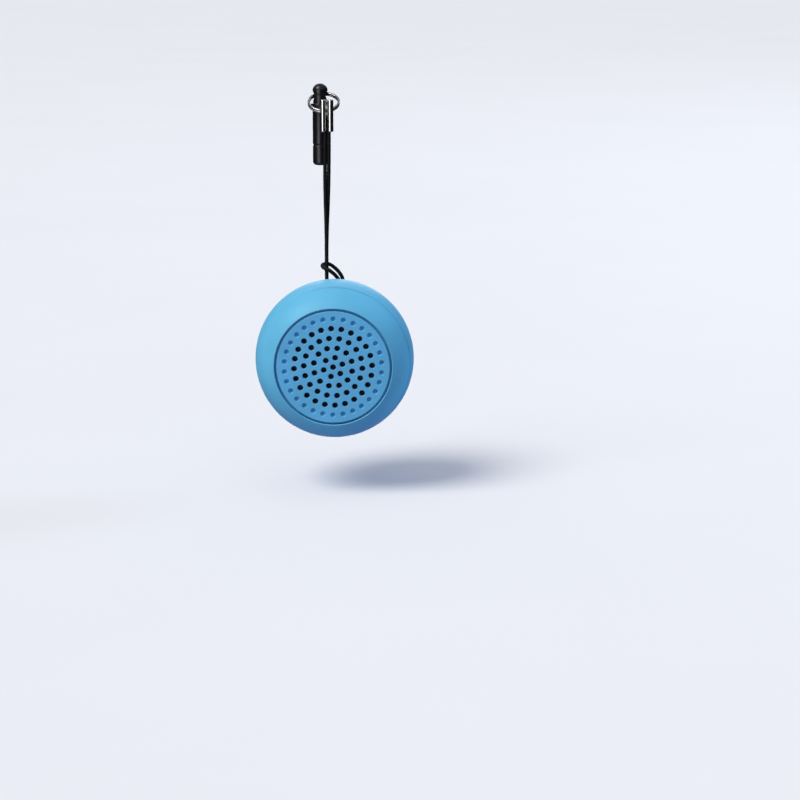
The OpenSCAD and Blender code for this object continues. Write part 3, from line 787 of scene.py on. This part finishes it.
def rear_profile():
    """From the seam over the skin to the cover's recess, then back along the inside."""
    edge_r, inner_r, socket_r = 0.9, 16.4, 15.5
    recess_r, seat_r, collar_r, collar_front = 10.25, 8.3, 11.4, 22.4
    edge_depth = COVER_BACK - edge_r
    edge_at = math.sqrt((BALL_R - edge_r) ** 2 - (edge_depth - CORE) ** 2)
    edge = arc(edge_at, edge_depth, edge_r, math.degrees(math.atan2(edge_depth - CORE, edge_at)), 90, 8)
    profile = [(socket_r, SEAM + 0.02), (GROOVE_R, SEAM + 0.1)]
    profile += [(SEAM_R - 0.14, SEAM + 0.13), (SEAM_R - 0.03, SEAM + 0.19)]
    profile += skin_arc(SEAM + 0.3, edge[0][1], 60) + edge[1:]
    # the recess that takes the cover, and the collar under it
    profile += [(recess_r + 0.17, COVER_BACK), (recess_r, COVER_BACK - 0.15), (recess_r, COVER_FRONT)]
    profile += [(seat_r, COVER_FRONT), (seat_r, collar_front), (collar_r, collar_front)]
    inner_end = CORE + math.sqrt(inner_r * inner_r - collar_r ** 2)
    return profile + skin_arc(SEAM + 0.1, inner_end, 30, inner_r)[::-1]


POCKET_FLOOR = 11.2               # height of the pocket's floor above the ball's centre


def skin_height(x, depth, r):
    """Height of a sphere above the ball's centre."""
    return math.sqrt(max(r * r - x * x - (depth - CORE) ** 2, 0.01))


def pocket_block():
    """The walls and floor of the strap pocket, as a block under the skin."""
    wall, columns, lines, top_r = 1, 12, 10, 17.2
    w, l = POCKET_W + 2 * wall, POCKET_L + 2 * wall
    xs = [-w / 2 + w * i / columns for i in range(columns + 1)]
    depths = [PIN_DEPTH - l / 2 + l * i / lines for i in range(lines + 1)]
    bm = bmesh.new()
    top = [[bm.verts.new(ball(x, -skin_height(x, d, top_r), d)) for d in depths] for x in xs]
    low = [[bm.verts.new(ball(x, -(POCKET_FLOOR - wall), d)) for d in depths] for x in xs]
    for i in range(columns):
        for k in range(lines):
            bm.faces.new((top[i][k], top[i + 1][k], top[i + 1][k + 1], top[i][k + 1]))
            bm.faces.new((low[i][k], low[i][k + 1], low[i + 1][k + 1], low[i + 1][k]))
    for i in range(columns):
        for k in (0, lines):
            bm.faces.new((top[i][k], low[i][k], low[i + 1][k], top[i + 1][k]))
    for k in range(lines):
        for i in (0, columns):
            bm.faces.new((top[i][k], top[i][k + 1], low[i][k + 1], low[i][k]))
    return solid("tool", bm)


def pocket_outline(out, play=0.1):
    """The pocket's outline, widened by out all round."""
    return subdivided(rounded_rect(POCKET_W + 2 * out - play, POCKET_L + 2 * out - play, 1.1 + out), 0.8)


def pocket_cutter():
    """The hollow of the strap pocket, flared where it meets the skin so that the rim is rounded."""
    rim_r, rim_steps, above, top = 0.55, 7, 0.35, 21
    loops = []
    for height, out in ((POCKET_FLOOR, -0.45), (POCKET_FLOOR + 0.15, -0.15), (POCKET_FLOOR + 0.5, 0.0)):
        loops.append([ball(x, -height, PIN_DEPTH + y) for x, y in pocket_outline(out)])
    for i in range(rim_steps + 1):
        a = math.radians(80 * i / rim_steps)
        out, under = rim_r * (1 - math.cos(a)), rim_r * (1 - math.sin(a))
        loops.append([ball(x, -(skin_height(x, PIN_DEPTH + y, BALL_R) - under), PIN_DEPTH + y)
                      for x, y in pocket_outline(out)])
    wide = pocket_outline(rim_r * 1.15, 0)
    loops.append([ball(x, -(skin_height(x, PIN_DEPTH + y, BALL_R) + above), PIN_DEPTH + y) for x, y in wide])
    loops.append([ball(x, -top, PIN_DEPTH + y) for x, y in wide])
    bm = bmesh.new()
    ring_grid(bm, loops)
    return solid("tool", bm)


def make_rear_shell():
    """The rear shell, with the strap pocket in its top."""
    bm = bmesh.new()
    lathe(bm, rear_profile(), ball, 192)
    shell = solid("rear_housing", bm)
    boolean(shell, pocket_block(), "UNION")
    boolean(shell, pocket_cutter(), "DIFFERENCE")
    dress(shell, "speaker", SHELL_BLUE, "rear_shell", 35)


def make_strap_pin():
    """A steel pin from wall to wall of the pocket."""
    r, bevel, height = 1.4, 0.1, 14
    front, back = PIN_DEPTH - (POCKET_L / 2 + 0.6), PIN_DEPTH + (POCKET_L / 2 + 0.6)
    profile = [(0, front), (r - bevel, front), (r, front + bevel)]
    profile += [(r, back - bevel), (r - bevel, back), (0, back)]
    bm = bmesh.new()
    lathe(bm, profile, lambda x, y, z: ball(x, y - height, z), 48, closed=False)
    dress(solid("pin_steel", bm), "speaker", STEEL, "strap_pin", 40)


# ---------------------------------------------------------------- grille plate
def grille_spots(ring, count):
    """Where the holes of one ring are."""
    spacing, phase = 2.18, 17.5
    angles = [-math.radians(phase + 360 * k / count) for k in range(count)]
    return [(ring * spacing * math.cos(a), ring * spacing * math.sin(a)) for a in angles]


def make_grille():
    """Rings of through holes, and an outer ring of blind dimples."""
    hole_r, dimple_r, rings, dimple_count, bevel = 0.65, 0.55, 4, 30, 0.12
    cup_r, cup_top, cup_deep, cup_back = 0.57, 0.14, 0.86, 0.95
    holes = [(0, 0)]
    for n in range(1, rings + 1):
        holes += grille_spots(n, 6 * n)
    dimples = grille_spots(rings + 1, dimple_count)
    openings = [circle_points(hole_r, 28, x, y) for x, y in holes]
    openings += [circle_points(dimple_r, 28, x, y) for x, y in dimples]
    bm = plate(circle_points(GRILLE_R, 240), openings, 0, GRILLE_T, bevel)
    # each dimple is a bowl, deepest at its middle
    cup = [(cup_r * i / 6, cup_deep - (cup_deep - cup_top) * (i / 6) ** 2) for i in range(7)]
    cup += [(cup_r, cup_back), (0, cup_back)]
    for x, y in dimples:
        lathe(bm, cup, lambda right, down, depth: ball(x + right, y + down, depth), 28, closed=False)
    # the flange at the bottom of the shadow gap
    flange_r, flange_top, flange_back = 13.11, 1.0, GRILLE_T - 0.02
    corners = rectangle(GRILLE_R - 0.1, flange_r, flange_top, flange_back)
    lathe(bm, filleted(corners, [0, 0.06, 0, 0], 3), ball, 240)
    keep_flat(dress(solid("grille_disc", bm), "speaker", GRILLE_BLUE_LIFTED, "grille_plate", 50))


# ---------------------------------------------------------------- rear cover and controls
BUTTON_R = 3.1


def make_rear_cover():
    """The cover, with openings for the button, the USB socket, the slider, the light and the microphone."""
    cover_r, bevel = 10.2, 0.1
    usb_down, slider_down, light_left, microphone_right = 5.6, -5.7, 5.6, 6.0
    openings = [circle_points(BUTTON_R + 0.05, 64),
                [(x, y + usb_down) for x, y in rounded_rect(8.0, 3.3, 0.6)],
                [(x, y + slider_down) for x, y in rounded_rect(4.9, 1.7, 0.3)],
                circle_points(0.75, 24, -light_left), circle_points(0.5, 24, microphone_right)]
    bm = plate(circle_points(cover_r, 160), openings, COVER_FRONT, COVER_BACK, bevel)
    keep_flat(dress(solid("cover_plate", bm), "speaker", SHELL_BLUE, "rear_cover", 50))


def make_foot_ring():
    """The rubber ring that the ball can stand on, rounded on its outer face."""
    inner, outer, front, back, round_r = 8.72, 9.88, 24.3, 25.6, 0.35
    corners = [(inner, front), (inner, back), (outer, back), (outer, front)]
    bm = bmesh.new()
    lathe(bm, filleted(corners, [0, round_r, round_r, 0], 5), ball, 160)
    dress(solid("foot_rubber", bm), "speaker", RUBBER, "foot_ring", 40)


def make_button():
    """A dished cap with a flange behind the cover and a stem that presses the switch."""
    dish_depth, dish_r, dish_rise, crown, round_r = 24.86, 2.4, 0.1, 25.1, 0.35
    flange_r, flange_back, flange_front, stem_r, stem_front = 3.7, 23.55, 22.95, 1.2, 22.85
    profile = [(0, dish_depth)]
    profile += [(r, dish_depth + dish_rise * (r / dish_r) ** 2) for r in (0.6, 1.2, 1.8, 2.4)]
    profile += arc(BUTTON_R - round_r, crown - round_r, round_r, 90, 0, 5)
    profile += [(BUTTON_R, flange_back), (flange_r, flange_back), (flange_r, flange_front)]
    profile += [(stem_r, flange_front), (stem_r, stem_front), (0, stem_front)]
    bm = bmesh.new()
    lathe(bm, profile, ball, 96, closed=False)
    dress(solid("button_dome", bm), "button", GRILLE_BLUE_LIFTED, "button_cap", 40)


# ---------------------------------------------------------------- CAD nodes that stay, with their finishes
def finish_cad_nodes():
    finishes = {
        "grille_cloth": CLOTH,
        "driver_gasket": moulded("foam_black", (0.02, 0.02, 0.022), 0.9, 6.0, 0.00006, 0.3, 0.2),
        "driver_basket": moulded("painted_basket", (0.025, 0.025, 0.028), 0.45, 2.0),
        "surround": moulded("butyl", (0.012, 0.012, 0.013), 0.55, 5.0, 0.00001, 0.2),
        "cone": moulded("paper_cone", (0.02, 0.019, 0.018), 0.85, 2.5, 0.00005, 0.35, 0.2),
        "dust_dome": moulded("film_dome", (0.014, 0.014, 0.016), 0.3, 3.0),
        "voice_coil": metal("copper_wire", (0.72, 0.34, 0.16), 0.32, (0.1, 9, 0.1), 5.0, 0.00001),
        "top_plate": STEEL,
        "yoke_cup": STEEL,
        "magnet": metal("magnet_nickel", (0.62, 0.61, 0.6), 0.22, (1, 1, 1), 2.0),
        "terminal_strip": moulded("phenolic", (0.28, 0.16, 0.05), 0.5, 4.0, 0.00002, 0.2),
        "foam_pad": moulded("foam_grey", (0.08, 0.08, 0.085), 0.95, 5.0, 0.00008, 0.3, 0.1),
        "battery": metal("pouch_foil", (0.66, 0.67, 0.69), 0.42, (1, 1, 1), 1.2, 0.00003),
        "circuit_board": moulded("solder_mask", (0.012, 0.12, 0.05), 0.32, 1.5, 0.00003, 0.35),
        "main_chip": moulded("chip_epoxy", (0.014, 0.014, 0.015), 0.5, 5.0),
        "amplifier_chip": moulded("chip_epoxy_b", (0.016, 0.016, 0.017), 0.5, 5.0),
        "passives": moulded("ceramic", (0.34, 0.24, 0.13), 0.5, 3.0, 0.00002, 0.3),
        "tact_switch": moulded("switch_body", (0.03, 0.03, 0.03), 0.45),
        "tact_plunger": moulded("white_plunger", (0.7, 0.7, 0.66), 0.4),
        "usb_socket": metal("socket_shell", (0.62, 0.62, 0.62), 0.3, (6, 0.3, 6), 3.0),
        "slide_switch": STEEL,
        "power_slider": moulded("slider_black", (0.02, 0.02, 0.022), 0.45, 3.0),
        "indicator_led": moulded("led_epoxy", (0.75, 0.72, 0.55), 0.25, 2.0),
        "light_pipe": moulded("light_pipe_acrylic", (0.75, 0.8, 0.85), 0.15, 2.0),
        "microphone": metal("mic_can", (0.7, 0.7, 0.7), 0.3, (1, 1, 1), 4.0),
        "board_screws": STEEL,
        "cover_screws": STEEL,
        "speaker_leads": moulded("wire_red", (0.42, 0.02, 0.015), 0.4, 3.0),
        "battery_leads": moulded("wire_red_b", (0.4, 0.02, 0.015), 0.4, 3.0),
    }
    for name, material in finishes.items():
        for slot in frame["nodes"][name].material_slots:
            slot.link = "OBJECT"
            slot.material = material


# ---------------------------------------------------------------- floor and light
def make_floor():
    """A pale floor that curves up into a wall, 8 m away all round. Only the camera sees it."""
    wall_at, curve_r, wall_height = 8, 2, 8
    level = cad_lo[2] - 0.012
    profile = [(0, level)] + arc(wall_at - curve_r, level + curve_r, curve_r, -90, 0, 12)
    profile += [(wall_at, level + wall_height)]
    bm = bmesh.new()
    lathe(bm, profile, V, 96, closed=False)
    floor = sheet("floor", bm)
    paint = matt_paint("floor_paint", 0.01, (0.75, 0.75, 0.755), (0.78, 0.78, 0.785), 0.9)
    floor.data.materials.append(paint)
    floor.visible_diffuse = False
    floor.visible_glossy = False
    floor.visible_shadow = False


def make_flags():
    """Black flags round the set, seen only in reflections, open where the strip lights shine through."""
    r, low, high = 1.3, -0.9, 0.8
    bm = bmesh.new()
    for start, end in ((-97, 75), (105, 222)):
        outline = arc(0, 0, r, start, end, 24)
        ring_grid(bm, [[CENTRE + V(x, y, z) for x, y in outline] for z in (low, high)],
                  round_again=False, caps=False)
    flags = sheet("flags", bm)
    paint = matt_paint("flag_cloth", 0.02, (0.012, 0.012, 0.013), (0.02, 0.02, 0.021), 1.0)
    flags.data.materials.append(paint)
    flags.visible_camera = False
    flags.visible_diffuse = False
    flags.visible_shadow = False
    flags.visible_transmission = False


def lamp(kind, name, offset, aim, energy, colour, **more):
    """A lamp placed and aimed in metres from the ball's centre."""
    light = bpy.data.lights.new(name, kind)
    light.energy = energy
    light.color = colour
    for key, value in more.items():
        setattr(light, key, value)
    ob = link(bpy.data.objects.new(name, light))
    ob.location = CENTRE + offset
    ob.rotation_mode = "QUATERNION"
    ob.rotation_quaternion = ((CENTRE + aim) - (CENTRE + offset)).to_track_quat("-Z", "Y")
    return ob


def make_lamps():
    """A wide sun, two strips that show only in reflections, and a cool light on the right edge."""
    warm = (1, 1, 0.97)
    lamp("SUN", "key", V(-0.54, -0.38, 0.80), V(0, 0, 0), 2.35, (1, 0.985, 0.93), angle=math.radians(30))
    strip = lamp("AREA", "strip", V(-0.40, -0.78, 0.0), V(0, 0, 0.04), 4.0, warm,
                 shape="RECTANGLE", size=0.5, size_y=0.9)
    back_strip = lamp("AREA", "back_strip", V(0, 0.87, 0.05), V(0, 0, 0.04), 3.0, warm,
                      shape="RECTANGLE", size=0.4, size_y=0.9)
    rim = lamp("AREA", "rim", V(1.3, 0.55, 0.3), V(0, 0, 0), 8.0, (0.72, 0.9, 1), shape="DISK", size=0.5)
    strip.visible_diffuse = False
    back_strip.visible_diffuse = False
    rim.visible_glossy = False


def make_world():
    """Soft light from all round, brightest and least blue from the upper left."""
    world = bpy.data.worlds.new("studio")
    bpy.context.scene.world = world
    world.use_nodes = True
    tree = world.node_tree
    direction = tree.nodes.new("ShaderNodeTexCoord")
    towards = tree.nodes.new("ShaderNodeVectorMath")
    towards.operation = "DOT_PRODUCT"
    towards.inputs[1].default_value = V(-0.56, -0.52, 0.66).normalized()
    tree.links.new(direction.outputs["Generated"], towards.inputs[0])
    amount = ranged(tree, towards.outputs["Value"], -0.7, 1.0)
    background = tree.nodes["Background"]
    tree.links.new(mixed(tree, amount, (0.25, 0.27, 0.53), (0.64, 0.67, 0.715)), background.inputs["Color"])
    background.inputs["Strength"].default_value = 0.9
    bpy.context.scene.view_settings.view_transform = "Standard"


# ---------------------------------------------------------------- the whole scene
make_camera()
cord, cord_path, cord_length = make_cord()
make_plug()
make_ring()
make_crimp()
make_front_shell()
make_rear_shell()
make_strap_pin()
make_grille()
make_rear_cover()
make_foot_ring()
make_button()
finish_cad_nodes()
make_floor()
make_lamps()
make_flags()
make_world()
